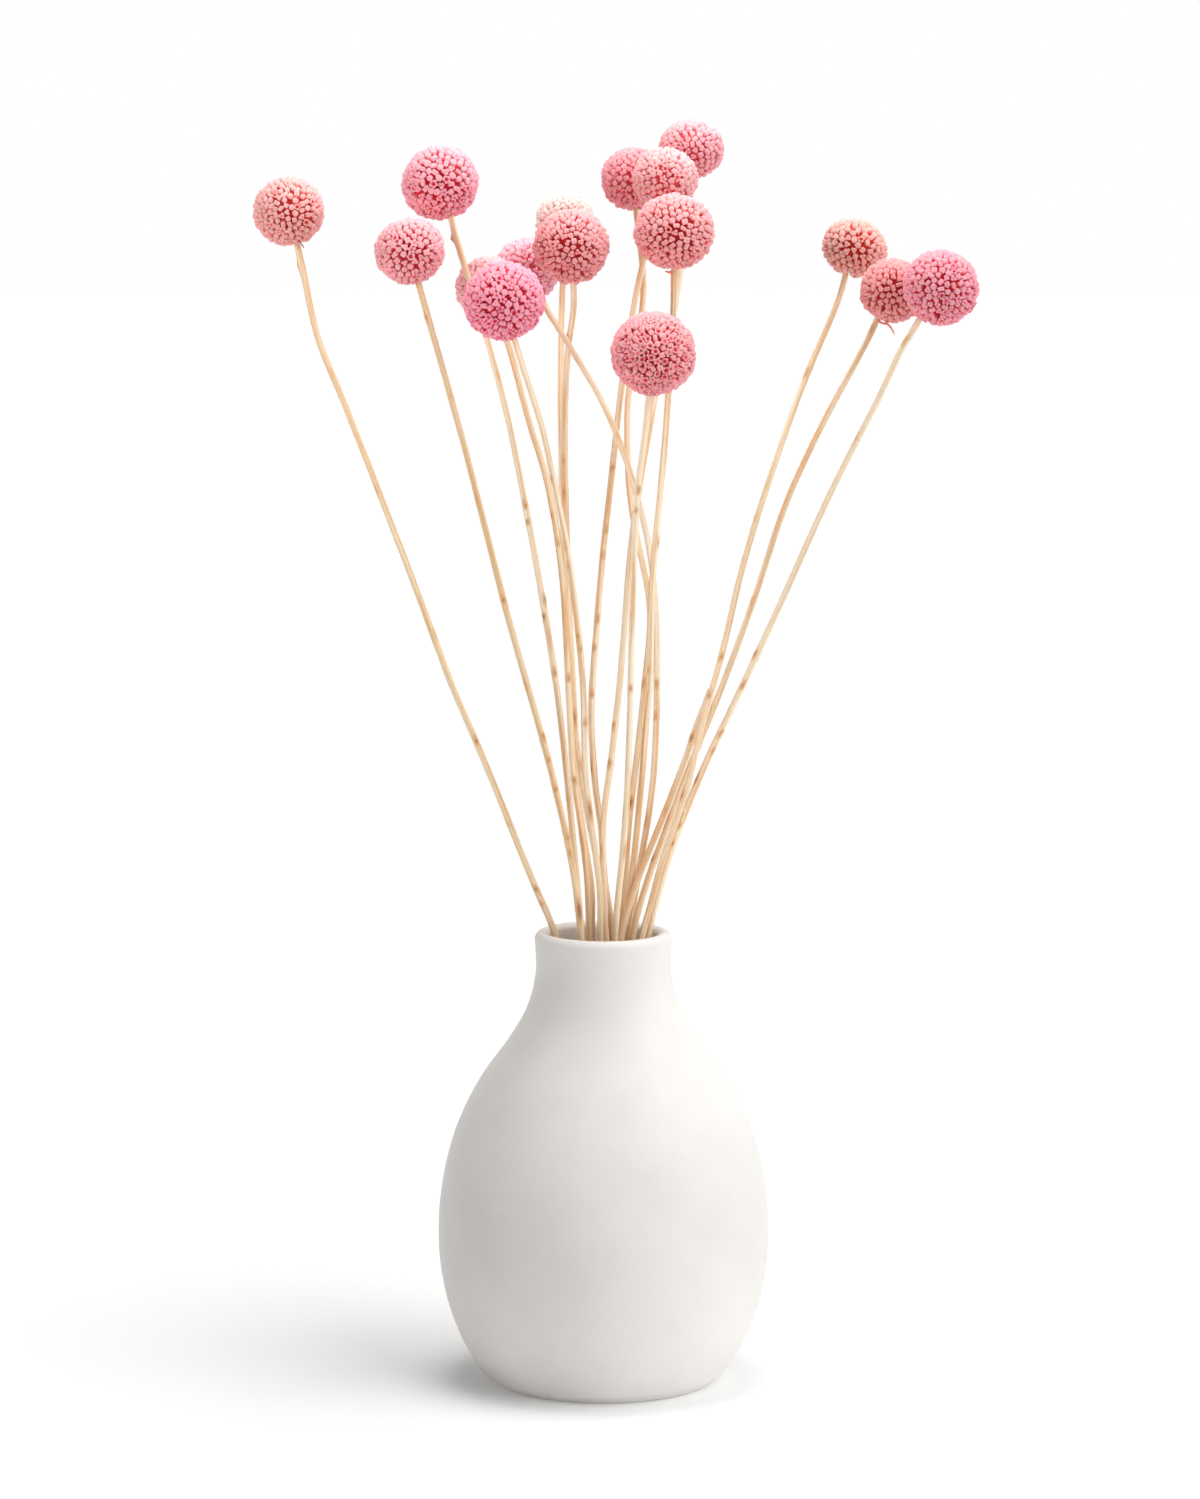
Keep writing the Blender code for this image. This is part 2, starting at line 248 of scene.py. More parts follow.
class Nodes:
    """The node tree of one material."""

    def __init__(self, name):
        self.material = bpy.data.materials.new(name)
        self.material.use_nodes = True
        self.tree = self.material.node_tree
        self.shader = self.tree.nodes["Principled BSDF"]

    def plug(self, socket, value):
        if isinstance(value, Value):
            self.tree.links.new(value.socket, socket)
        else:
            socket.default_value = value

    def add(self, kind, settings, inputs, output=0):
        node = self.tree.nodes.new(kind)
        for name, setting in settings.items():
            if name == "stops":
                self.set_stops(node.color_ramp, setting)
            else:
                setattr(node, name, setting)
        for name, value in inputs.items():
            self.plug(node.inputs[name], value)
        return Value(self, node.outputs[output])

    def set_stops(self, ramp, stops):
        while len(ramp.elements) < len(stops):
            ramp.elements.new(1.0)
        for element, (place, color) in zip(ramp.elements, stops):
            element.position = place
            element.color = color

    def attribute(self, name, output="Fac"):
        return self.add("ShaderNodeAttribute", {"attribute_name": name}, {}, output)

    def place(self):
        return self.add("ShaderNodeTexCoord", {}, {}, "Object")

    def stretch(self, vector, scale):
        return self.add("ShaderNodeMapping", {}, {"Vector": vector, "Scale": scale})

    def noise(self, vector, scale, detail=2.0, roughness=0.5):
        inputs = {"Vector": vector, "Scale": scale, "Detail": detail, "Roughness": roughness}
        return self.add("ShaderNodeTexNoise", {}, inputs)

    def ramp(self, value, *stops):
        return self.add("ShaderNodeValToRGB", {"stops": stops}, {"Fac": value})

    def span(self, value, low, high, start=0.0, end=1.0):
        inputs = {"Value": value, "From Min": low, "From Max": high, "To Min": start, "To Max": end}
        return self.add("ShaderNodeMapRange", {"interpolation_type": "SMOOTHSTEP"}, inputs)

    def mix(self, factor, first, second):
        # A Mix node's color sockets share their names with its other kinds, so they go by number.
        node = self.tree.nodes.new("ShaderNodeMix")
        node.data_type = "RGBA"
        self.plug(node.inputs[0], factor)
        self.plug(node.inputs[6], first)
        self.plug(node.inputs[7], second)
        return Value(self, node.outputs[2])

    def bump(self, height, distance, strength=1.0):
        inputs = {"Height": height, "Distance": distance, "Strength": strength}
        return self.add("ShaderNodeBump", {}, inputs, "Normal")

    def finish(self, color, roughness, normal=None, **constants):
        self.plug(self.shader.inputs["Base Color"], color)
        self.plug(self.shader.inputs["Roughness"], roughness)
        if normal is not None:
            self.plug(self.shader.inputs["Normal"], normal)
        for name, value in constants.items():
            self.shader.inputs[name.replace("_", " ")].default_value = value
        return self.material


# Ceramic: two close off-whites in soft clouds, a few fine specks, and faint lines from the wheel.
CERAMIC_SHADE = (0.785, 0.762, 0.730, 1.0)
CERAMIC_LIGHT = (0.830, 0.808, 0.777, 1.0)
CERAMIC_SPECK = (0.62, 0.57, 0.51, 1.0)
SPECK_SHARE = 0.35
CLOUD_SCALE = 22.0
SPECK_SCALE = 900.0
CERAMIC_GRAIN_SCALE = 420.0
WHEEL_LINES = (6.0, 6.0, 260.0)


def ceramic_material():
    nodes = Nodes("off_white_ceramic")
    place = nodes.place()
    clouds = nodes.noise(place, CLOUD_SCALE, detail=3.0, roughness=0.55)
    specks = nodes.noise(place, SPECK_SCALE, detail=2.0, roughness=0.6)
    grain = nodes.noise(place, CERAMIC_GRAIN_SCALE, detail=4.0, roughness=0.6)
    turned = nodes.noise(nodes.stretch(place, WHEEL_LINES), 1.0)
    color = nodes.mix(nodes.span(clouds, low=0.35, high=0.65), CERAMIC_SHADE, CERAMIC_LIGHT)
    color = nodes.mix(nodes.span(specks, low=0.62, high=0.78) * SPECK_SHARE, color, CERAMIC_SPECK)
    roughness = nodes.span(clouds, low=0.3, high=0.7, start=0.40, end=0.50)
    normal = nodes.bump(grain * 0.6 + turned * 0.4, distance=0.00012, strength=0.5)
    return nodes.finish(color, roughness, normal, Coat_Weight=0.0)


# Straw: streaks run from dark to pale along it, and the scales are across, across and along the straw.
STRAW_STREAKS = (
    (0.34, (0.58, 0.33, 0.15, 1.0)), (0.45, (0.86, 0.60, 0.35, 1.0)),
    (0.54, (0.95, 0.73, 0.49, 1.0)), (0.66, (0.98, 0.87, 0.70, 1.0)))
STREAK_SCALE = (1100.0, 1100.0, 14.0)
PATCH_SCALE = (420.0, 420.0, 22.0)
FIBRE_SCALE = (3000.0, 3000.0, 60.0)
STRAW_CREAM = (0.97, 0.84, 0.66, 1.0)
STRAW_TAN = (0.62, 0.36, 0.14, 1.0)
# Painted light: low on the straws, near and inside the mouth of the vase, the straw is paler and warmer,
# fading out higher up.
STRAW_PAINTED_LIGHT = (1.0, 0.77, 0.52, 1.0)
PAINTED_LIGHT_BELOW = 0.15
PAINTED_LIGHT_GONE_ABOVE = 0.25
PAINTED_LIGHT_SHARE = 0.5
STRAW_PATCH = (0.78, 0.43, 0.19, 1.0)
PATCH_SHARE = 0.70
SCAR_EDGE = (0.74, 0.40, 0.17, 1.0)
SCAR_EDGE_SHARE = 0.8
SCAR_MIDDLE = (0.38, 0.16, 0.07, 1.0)


def straw_material():
    # The grain attribute is the stem's own place before it was bent, so streaks run along it.
    nodes = Nodes("dried_straw")
    grain = nodes.attribute("grain", "Vector")
    tone = nodes.attribute("tone")
    scar = nodes.attribute("scar")
    streaks = nodes.noise(nodes.stretch(grain, STREAK_SCALE), 1.0, detail=3.0, roughness=0.6)
    patches = nodes.noise(nodes.stretch(grain, PATCH_SCALE), 1.0)
    fibres = nodes.noise(nodes.stretch(grain, FIBRE_SCALE), 1.0, detail=2.0, roughness=0.6)
    color = nodes.ramp(streaks, *STRAW_STREAKS)
    color = nodes.mix(tone.clamp(), color, STRAW_CREAM)
    color = nodes.mix((tone * -1.0).clamp(), color, STRAW_TAN)
    height = nodes.add("ShaderNodeSeparateXYZ", {}, {"Vector": nodes.place()}, "Z")
    # Painted light: the straw is made paler and warmer low down, near and inside the mouth of the vase.
    painted_light = nodes.span(height, PAINTED_LIGHT_BELOW, PAINTED_LIGHT_GONE_ABOVE, start=PAINTED_LIGHT_SHARE, end=0.0)
    color = nodes.mix(painted_light, color, STRAW_PAINTED_LIGHT)
    color = nodes.mix(nodes.span(patches, low=0.53, high=0.63) * PATCH_SHARE, color, STRAW_PATCH)
    color = nodes.mix(nodes.span(scar, low=0.05, high=0.50) * SCAR_EDGE_SHARE, color, SCAR_EDGE)
    color = nodes.mix(nodes.span(scar, low=0.42, high=0.90), color, SCAR_MIDDLE)
    normal = nodes.bump(streaks * 0.6 + fibres * 0.4, distance=0.00012, strength=0.6)
    return nodes.finish(color, roughness=0.72, normal=normal)


# Dye: pale specks on the tips of the florets, a painted highlight.
TIP_SPECK_SCALE = 2600.0
HIGHLIGHT_SPECK_WHITE = (1.0, 0.97, 0.97, 1.0)
HIGHLIGHT_SPECK_SHARE = 0.30
TONE_SHARE = 0.5


def floret_material(name, pit, body, tip):
    # The tip attribute is 0 at a floret's foot and 1 at its tip. Tone differs from floret to floret by
    # chance, and is higher on the upper side of a head and lower below, as painted light and painted shade.
    nodes = Nodes(name)
    rise = nodes.attribute("tip")
    tone = nodes.attribute("tone")
    dye_and_painted_light = rise + (tone - 0.5) * TONE_SHARE
    # From pit through body to tip: the dye's own shades, darkened in the depths as painted shade and paled
    # down the sides of the tips as painted light.
    color = nodes.mix(nodes.span(dye_and_painted_light, low=0.0, high=0.45), pit, body)
    color = nodes.mix(nodes.span(dye_and_painted_light, low=0.35, high=0.85), color, tip)
    tip_specks = nodes.noise(nodes.place(), TIP_SPECK_SCALE, detail=2.0, roughness=0.6)
    painted_highlight = nodes.mix(0.5, tip, HIGHLIGHT_SPECK_WHITE)
    # Painted highlight: pale specks on the tips.
    color = nodes.mix(nodes.span(tip_specks, low=0.40, high=0.70) * rise * HIGHLIGHT_SPECK_SHARE, color, painted_highlight)
    normal = nodes.bump(tip_specks, distance=0.00006, strength=0.4)
    return nodes.finish(color, roughness=0.9, normal=normal, Specular_IOR_Level=0.2)


def turn_vase():
    # Draws the vase up from its foot, ring by ring, over the lip and down the inside to its floor.
    knots = [(radius, height, 0.0) for radius, height in VASE_SIDE]
    side = smooth_path(knots, SIDE_STEPS)[::-1]
    lip_middle = Vector((NECK_RADIUS - LIP_ROUNDING, LIP_HEIGHT - LIP_ROUNDING, 0.0))
    lip = []
    for index in range(1, LIP_STEPS):
        angle = math.pi * index / LIP_STEPS
        lip.append(lip_middle + LIP_ROUNDING * Vector((math.cos(angle), math.sin(angle), 0.0)))
    inner = []
    shell = side[::-1]
    for above, point, below in zip(shell, shell[1:], shell[2:]):
        run = (below - above).normalized()
        wall_point = point + Vector((run.y, -run.x, 0.0)) * VASE_WALL
        if wall_point.y > VASE_FLOOR + FLOOR_BEND:
            inner.append(wall_point)
    profile = side[1:] + lip + inner + [Vector((FLOOR_RADIUS, VASE_FLOOR, 0.0))]
    start_fresh()
    bpy.ops.mesh.primitive_circle_add(
        vertices=VASE_FACETS, radius=FOOT_RADIUS * MM, fill_type="NGON", location=(0.0, 0.0, 0.0))
    vase = bpy.context.object
    vase.name = "turned_vase"
    open_for_editing(vase)
    bpy.ops.mesh.select_all(action="SELECT")
    radius = FOOT_RADIUS
    height = 0.0
    for ring in profile:
        rise = (0.0, 0.0, (ring.y - height) * MM)
        bpy.ops.mesh.extrude_region_move(TRANSFORM_OT_translate={"value": rise})
        scale = ring.x / radius
        bpy.ops.transform.resize(value=(scale, scale, 1.0), center_override=(0.0, 0.0, ring.y * MM))
        radius = ring.x
        height = ring.y
    carve_foot(vase)
    bpy.ops.object.mode_set(mode="OBJECT")
    bpy.ops.object.shade_smooth_by_angle(angle=VASE_SMOOTH_ANGLE)
    return vase


def carve_foot(vase):
    # The foot stands on a ring, with a shallow hollow inside it. The vase is still open for editing.
    bpy.ops.mesh.select_all(action="DESELECT")
    bpy.ops.object.mode_set(mode="OBJECT")
    for face in vase.data.polygons:
        face.select = face.center.z < FOOT_LEVEL * MM and face.normal.z < -0.9
    bpy.ops.object.mode_set(mode="EDIT")
    bpy.ops.mesh.inset(thickness=FOOT_RING_WIDTH * MM)
    bpy.ops.mesh.inset(thickness=FOOT_HOLLOW_DEPTH * MM)
    bpy.ops.transform.translate(value=(0.0, 0.0, FOOT_HOLLOW_DEPTH * MM))
    bpy.ops.mesh.inset(thickness=FOOT_RADIUS * FOOT_CENTRE_INSET * MM)


def corners_of(node):
    return np.array([vertex.co for vertex in node.data.vertices]) / MM


def centre_line(node):
    # Cuts a CAD stem at even heights, and takes the middle of each cut.
    corners = corners_of(node)
    edges = np.array([edge.vertices[:] for edge in node.data.edges])
    low = corners[:, 2].min()
    high = corners[:, 2].max()
    count = round((high - low) / CENTRE_STEP)
    bottom = corners[corners[:, 2] < low + STEM_RADIUS / 2.0]
    top = corners[corners[:, 2] > high - STEM_RADIUS / 2.0]
    points = [Vector(bottom.mean(axis=0))]
    for height in np.linspace(low, high, count + 1)[1:-1]:
        start = corners[edges[:, 0]]
        end = corners[edges[:, 1]]
        crossing = (start[:, 2] - height) * (end[:, 2] - height) < 0.0
        start = start[crossing]
        end = end[crossing]
        share = (height - start[:, 2]) / (end[:, 2] - start[:, 2])
        cut = start + (end - start) * share[:, None]
        points.append(Vector((cut.min(axis=0) + cut.max(axis=0)) / 2.0))
    points.append(Vector(top.mean(axis=0)))
    return points


def write_attribute(mesh, name, values, kind="FLOAT"):
    attribute = mesh.attributes.new(name, kind, "POINT")
    field = "vector" if kind == "FLOAT_VECTOR" else "value"
    attribute.data.foreach_set(field, np.asarray(values, np.float32).ravel())


def model_stem_blank():
    # A straight stem is drawn up from its round end, with a ring at every millimetre. Each straw and
    # fibre is a copy of it that is stretched to its own length.
    start_fresh()
    bpy.ops.mesh.primitive_circle_add(
        vertices=STEM_FACETS, radius=STEM_RADIUS * MM, fill_type="NGON", location=(0.0, 0.0, 0.0))
    blank = bpy.context.object
    blank.name = "stem_blank"
    open_for_editing(blank)
    bpy.ops.mesh.select_all(action="SELECT")
    for ring in range(STEM_RINGS):
        bpy.ops.mesh.extrude_region_move(TRANSFORM_OT_translate={"value": (0.0, 0.0, MM)})
    bpy.ops.object.mode_set(mode="OBJECT")
    return blank


def copy_piece(piece, name):
    twin = piece.copy()
    twin.data = piece.data.copy()
    twin.name = name
    bpy.context.scene.collection.objects.link(twin)
    return twin


Mark = namedtuple("Mark", "height side length depth stub", defaults=(0.0,))

# What marks each straw: the height of a mark, where it sits across the straw as seen from the front (-1
# is the left edge and 1 the right one), its half length, how dark it is from 0 to 1, and how far it
# stands out.
STRAW_MARKS = {
    1: (Mark(388.0, -1.0, 2.6, 0.60, 0.5), Mark(352.0, 0.4, 2.5, 0.35, 0.2), Mark(312.0, -0.6, 3.0, 0.45),
        Mark(262.0, 0.7, 3.0, 0.40), Mark(225.0, 0.3, 2.2, 0.85, 0.3), Mark(196.0, -0.5, 2.5, 0.35),
        Mark(173.0, 0.0, 2.0, 0.80), Mark(168.0, -0.4, 1.8, 0.65)),
    2: (Mark(372.0, -0.7, 1.8, 0.80, 0.2), Mark(346.0, 0.3, 3.0, 0.40), Mark(310.0, -0.4, 5.0, 0.45),
        Mark(276.0, 0.0, 2.2, 0.85, 0.2), Mark(246.0, -0.6, 4.0, 0.50), Mark(228.0, 0.6, 2.2, 0.85, 0.2),
        Mark(220.0, 0.1, 1.8, 0.75), Mark(210.0, 0.0, 1.8, 0.80), Mark(193.0, 0.4, 1.8, 0.75),
        Mark(187.0, 0.1, 1.8, 0.75), Mark(167.0, 0.3, 6.0, 0.95, 0.2)),
    3: (Mark(398.0, -1.0, 1.5, 0.75, 0.9), Mark(392.0, 0.0, 9.0, 0.35), Mark(352.0, 0.5, 3.0, 0.45),
        Mark(308.0, 0.0, 2.0, 0.80, 0.2), Mark(302.0, -0.3, 1.8, 0.75), Mark(275.0, 0.7, 3.0, 0.75, 0.2),
        Mark(269.0, -0.5, 2.0, 0.90), Mark(262.0, 0.2, 9.0, 0.45), Mark(250.0, 0.1, 2.0, 0.80),
        Mark(205.0, -0.4, 3.0, 0.50)),
    4: (Mark(303.0, -0.7, 2.5, 0.75), Mark(294.0, 0.0, 2.0, 0.70, 0.2), Mark(247.0, 0.3, 2.0, 0.80),
        Mark(211.0, 0.0, 2.0, 0.80), Mark(190.0, -0.5, 7.0, 0.50)),
    5: (Mark(318.0, -0.7, 2.0, 0.70), Mark(295.0, -0.5, 3.0, 0.45), Mark(288.0, -0.4, 3.0, 0.45),
        Mark(263.0, -0.4, 2.0, 0.75), Mark(259.0, 0.0, 1.8, 0.70), Mark(233.0, 0.4, 2.0, 0.75, 0.2),
        Mark(202.0, 0.2, 5.0, 0.80)),
    6: (Mark(356.0, -0.6, 2.5, 0.40), Mark(330.0, 0.2, 2.5, 0.40), Mark(244.0, 0.0, 2.0, 0.75, 0.2),
        Mark(233.0, -0.2, 2.0, 0.70), Mark(196.0, -0.6, 5.0, 0.55)),
    7: (Mark(314.0, 0.4, 4.0, 0.45), Mark(268.0, 0.3, 2.5, 0.50), Mark(196.0, -0.7, 6.0, 0.65)),
    8: (Mark(321.0, -0.5, 2.5, 0.65), Mark(310.0, -0.5, 4.0, 0.70), Mark(232.0, 0.0, 5.0, 0.75),
        Mark(216.0, 0.3, 4.0, 0.50), Mark(171.0, -0.8, 9.0, 0.60)),
    9: (Mark(380.0, 0.0, 6.0, 0.30), Mark(242.0, -0.4, 2.0, 0.80, 0.2), Mark(201.0, -0.2, 3.0, 0.90, 0.2),
        Mark(186.0, 0.0, 5.0, 0.45)),
    10: (Mark(315.0, 0.3, 2.2, 0.80, 0.2), Mark(308.0, 0.0, 1.8, 0.65), Mark(272.0, -0.6, 3.0, 0.35),
         Mark(246.0, 0.0, 2.0, 0.70), Mark(188.0, 0.7, 5.0, 0.55)),
    11: (Mark(318.0, 0.0, 2.2, 0.80, 0.2), Mark(297.0, 0.3, 2.0, 0.75), Mark(288.0, 0.0, 1.8, 0.70),
         Mark(266.0, 0.0, 2.0, 0.80), Mark(256.0, -0.3, 2.0, 0.70), Mark(240.0, 0.0, 2.0, 0.75, 0.2),
         Mark(214.0, -0.9, 6.0, 0.75)),
    12: (Mark(385.0, -0.4, 9.0, 0.45), Mark(294.0, 0.9, 3.0, 0.65, 0.3), Mark(250.0, -0.5, 3.0, 0.45),
         Mark(205.0, 0.0, 9.0, 0.45)),
    13: (Mark(229.0, -0.6, 2.0, 0.80, 0.2), Mark(216.0, -0.4, 2.0, 0.75), Mark(186.0, -0.6, 5.0, 0.45)),
    14: (Mark(350.0, -0.6, 3.0, 0.60, 0.2), Mark(300.0, -0.6, 3.0, 0.40), Mark(253.0, 0.0, 2.2, 0.75, 0.2),
         Mark(240.0, -0.5, 2.0, 0.75), Mark(206.0, -0.9, 3.0, 0.80)),
    15: (Mark(366.0, -0.6, 2.5, 0.60), Mark(330.0, 0.2, 3.0, 0.35), Mark(272.0, -0.7, 3.0, 0.45),
         Mark(196.0, -0.9, 6.0, 0.70), Mark(183.0, -0.9, 2.5, 0.80)),
    16: (Mark(364.0, -0.5, 3.0, 0.60, 0.2), Mark(330.0, -0.7, 3.5, 0.40), Mark(254.0, -0.8, 2.5, 0.80, 0.3),
         Mark(243.0, 0.0, 2.5, 0.75), Mark(226.0, 0.3, 2.0, 0.75, 0.2), Mark(220.0, 0.5, 2.0, 0.65),
         Mark(210.0, -0.9, 3.0, 0.85), Mark(197.0, -0.9, 2.0, 0.85), Mark(194.0, -0.4, 1.8, 0.70),
         Mark(188.0, -0.6, 2.0, 0.80)),
    17: (Mark(225.0, -0.5, 2.5, 0.80, 0.2), Mark(200.0, 0.0, 3.0, 0.45)),
}
# How far each straw has bleached: above 0 towards cream, and below 0 it is a darker tan.
STRAW_TONES = {
    1: -0.05, 2: -0.35, 3: 0.25, 4: 0.10, 5: 0.25, 6: 0.50, 7: 0.10, 8: 0.25, 9: 0.15, 10: 0.45, 11: 0.20,
    12: 0.0, 13: 0.50, 14: 0.30, 15: 0.30, 16: 0.50, 17: 0.30}


def kink_line(line, draw):
    # A real straw runs straight between its joints and turns a little at each. Its top stays in place,
    # in the hole of its head.
    heights = [line[0].z]
    while heights[-1] < line[-1].z:
        heights.append(heights[-1] + draw.uniform(*JOINT_SPACING))
    turns_x = [0.0] + [draw.uniform(-KINK, KINK) for height in heights[1:]]
    turns_y = [0.0] + [draw.uniform(-KINK, KINK) for height in heights[1:]]
    kinked = []
    for point in line:
        calm = min(1.0, (line[-1].z - point.z) / CALM_LENGTH)
        aside = np.interp(point.z, heights, turns_x)
        deeper = np.interp(point.z, heights, turns_y)
        kinked.append(point + Vector((aside, deeper, 0.0)) * calm)
    return kinked


def bend_along(piece, line):
    # Draws a straight piece along the line, and rounds it off.
    start_fresh()
    path = bpy.data.curves.new("guide_line", "CURVE")
    path.dimensions = "3D"
    spline = path.splines.new("POLY")
    spline.points.add(len(line) - 1)
    for slot, point in zip(spline.points, line):
        slot.co = (*(point * MM), 1.0)
    guide = bpy.data.objects.new("guide_line", path)
    bpy.context.scene.collection.objects.link(guide)
    piece.select_set(True)
    bpy.context.view_layer.objects.active = piece
    bend = piece.modifiers.new("Bend", "CURVE")
    bend.object = guide
    bend.deform_axis = "POS_Z"
    bpy.ops.object.modifier_apply(modifier=bend.name)
    smooth = piece.modifiers.new("Smooth", "SUBSURF")
    smooth.levels = 1
    smooth.render_levels = 1
    bpy.ops.object.modifier_apply(modifier=smooth.name)
    bpy.ops.object.shade_smooth()
    bpy.data.objects.remove(guide)


def mark_straw(stem, number, line, draw):
    # Darkens the straw at its marks and pushes its leaf scars out a little.
    corners = corners_of(stem)
    heights = np.array([point.z for point in line])
    off_x = corners[:, 0] - np.interp(corners[:, 2], heights, [point.x for point in line])
    off_y = corners[:, 1] - np.interp(corners[:, 2], heights, [point.y for point in line])
    reach = np.maximum(np.hypot(off_x, off_y), LEAST_REACH)
    marks = [(mark, mark.side, -math.sqrt(1.0 - mark.side ** 2)) for mark in STRAW_MARKS[number]]
    first = draw.uniform(*HIDDEN_MARK_START)
    for height in np.arange(first, heights[-1] - HIDDEN_MARK_TOP_GAP, HIDDEN_MARK_STEP):
        around = draw.uniform(*HIDDEN_MARK_SIDES)
        place = height + draw.uniform(-HIDDEN_MARK_SHIFT, HIDDEN_MARK_SHIFT)
        length = draw.uniform(*HIDDEN_MARK_LENGTHS)
        depth = draw.uniform(*HIDDEN_MARK_DEPTHS)
        marks.append((Mark(place, 0.0, length, depth), math.cos(around), math.sin(around)))
    scar = np.zeros(len(corners))
    for mark, towards_x, towards_y in marks:
        facing = np.clip((off_x * towards_x + off_y * towards_y) / reach, 0.0, 1.0)
        near = np.exp(-((corners[:, 2] - mark.height) / (mark.length * MARK_LENGTH_SHARE)) ** 2)
        scar = np.maximum(scar, near * facing ** MARK_FOCUS * mark.depth)
        push = mark.stub * near * facing ** STUB_FOCUS
        corners[:, 0] += push * towards_x
        corners[:, 1] += push * towards_y
    stem.data.vertices.foreach_set("co", (corners * MM).ravel())
    stem.data.update()
    write_attribute(stem.data, "scar", scar)


def bend_stem(number, blank, material):
    # A copy of the blank is stretched to its stem's length, thickened at its marks and bent along its line.
    label = f"stem_{number:02d}"
    draw = random.Random(STRAW_SEED + number)
    line = kink_line(smooth_path(centre_line(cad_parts[label]), LINE_STEPS), draw)
    steps = np.array([0.0] + [(b - a).length for a, b in zip(line, line[1:])]).cumsum()
    length = steps[-1]
    stem = copy_piece(blank, f"straw_{label}")
    corners = corners_of(stem)
    along = corners[:, 2] / STEM_RINGS * length
    angle = np.arctan2(corners[:, 1], corners[:, 0])
    swell = 1.0 + STEM_TAPER * (0.5 - along / length)
    for mark in STRAW_MARKS[number]:
        place = np.interp(mark.height, [point.z for point in line], steps)
        swell += np.exp(-((along - place) / MARK_SWELL_LENGTH) ** 2) * MARK_SWELL * mark.depth
    ribs = 1.0 + STEM_RIB * np.cos(STEM_RIBS * angle + along * RIB_TWIST)
    straight = corners.copy()
    straight[:, 0] *= swell * ribs
    straight[:, 1] *= swell * ribs
    straight[:, 2] = along
    stem.data.vertices.foreach_set("co", (straight * MM).ravel())
    grain_start = np.array([draw.random(), draw.random(), draw.random()])
    write_attribute(stem.data, "grain", straight * MM + grain_start, "FLOAT_VECTOR")
    write_attribute(stem.data, "tone", np.full(len(corners), STRAW_TONES[number]))
    bend_along(stem, line)
    mark_straw(stem, number, line, draw)
    stem.data.materials.clear()
    stem.data.materials.append(material)
    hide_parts(label)
    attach(stem, BODY)
    return stem


Fibre = namedtuple("Fibre", "height way thickness color")

# Loose dyed fibres by the stem each hangs on: the height where it leaves the stem, the way it takes from
# there, its half thickness and its color.
FIBRES = {
    1: Fibre(397.0, ((0.3, -0.6, 0.2), (1.3, -1.5, -0.2), (2.0, -2.0, -1.3), (3.0, -2.4, -2.8)), 0.32,
             (0.42, 0.11, 0.035, 1.0)),
    12: Fibre(386.3, ((0.0, -0.3, 0.0), (-1.3, -0.8, 0.0), (-2.2, -1.0, 0.2), (-3.1, -1.1, 0.4)), 0.48,
              (0.84, 0.16, 0.09, 1.0)),
    15: Fibre(369.3, ((0.3, -0.5, 0.0), (1.6, -1.6, -0.9), (3.6, -3.0, -1.3), (5.0, -3.8, -2.8),
                      (6.0, -4.4, -5.0)), 0.42, (0.88, 0.20, 0.13, 1.0)),
}


FIBRE_STEPS = 6
FIBRE_END = 0.05
BLOTCH_SCALE = 900.0
BLOTCH_SHARE = 0.6
PALENESS = 0.4


def fibre_material(name, color):
    nodes = Nodes(name)
    blotches = nodes.noise(nodes.place(), BLOTCH_SCALE)
    pale = tuple((1.0 - PALENESS) * part + PALENESS for part in color)
    color = nodes.mix(nodes.span(blotches, low=0.45, high=0.75) * BLOTCH_SHARE, color, pale)
    normal = nodes.bump(blotches, distance=0.00005, strength=0.4)
    return nodes.finish(color, roughness=0.8, normal=normal)


def hang_fibre(number, blank):
    # A copy of the blank becomes a thin tapered fibre that starts inside its stem.
    fibre = FIBRES[number]
    stem_line = centre_line(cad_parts[f"stem_{number:02d}"])
    heights = [point.z for point in stem_line]
    start = Vector((
        np.interp(fibre.height, heights, [point.x for point in stem_line]),
        np.interp(fibre.height, heights, [point.y for point in stem_line]), fibre.height))
    line = smooth_path([start + Vector(step) for step in fibre.way], FIBRE_STEPS)
    length = sum((b - a).length for a, b in zip(line, line[1:]))
    piece = copy_piece(blank, f"loose_fibre_{number:02d}")
    corners = corners_of(piece)
    along = corners[:, 2] / STEM_RINGS
    width = fibre.thickness / STEM_RADIUS * np.sqrt(np.clip(1.0 - along ** 3, FIBRE_END, 1.0))
    corners[:, 0] *= width
    corners[:, 1] *= width
    corners[:, 2] = along * length
    piece.data.vertices.foreach_set("co", (corners * MM).ravel())
    bend_along(piece, line)
    piece.data.materials.clear()
    piece.data.materials.append(fibre_material(f"dyed_fibre_{number:02d}", fibre.color))
    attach(piece, BODY)
    return piece


Ring = namedtuple("Ring", "height radius tip")
Form = namedtuple("Form", "lobes notch stretch rings")
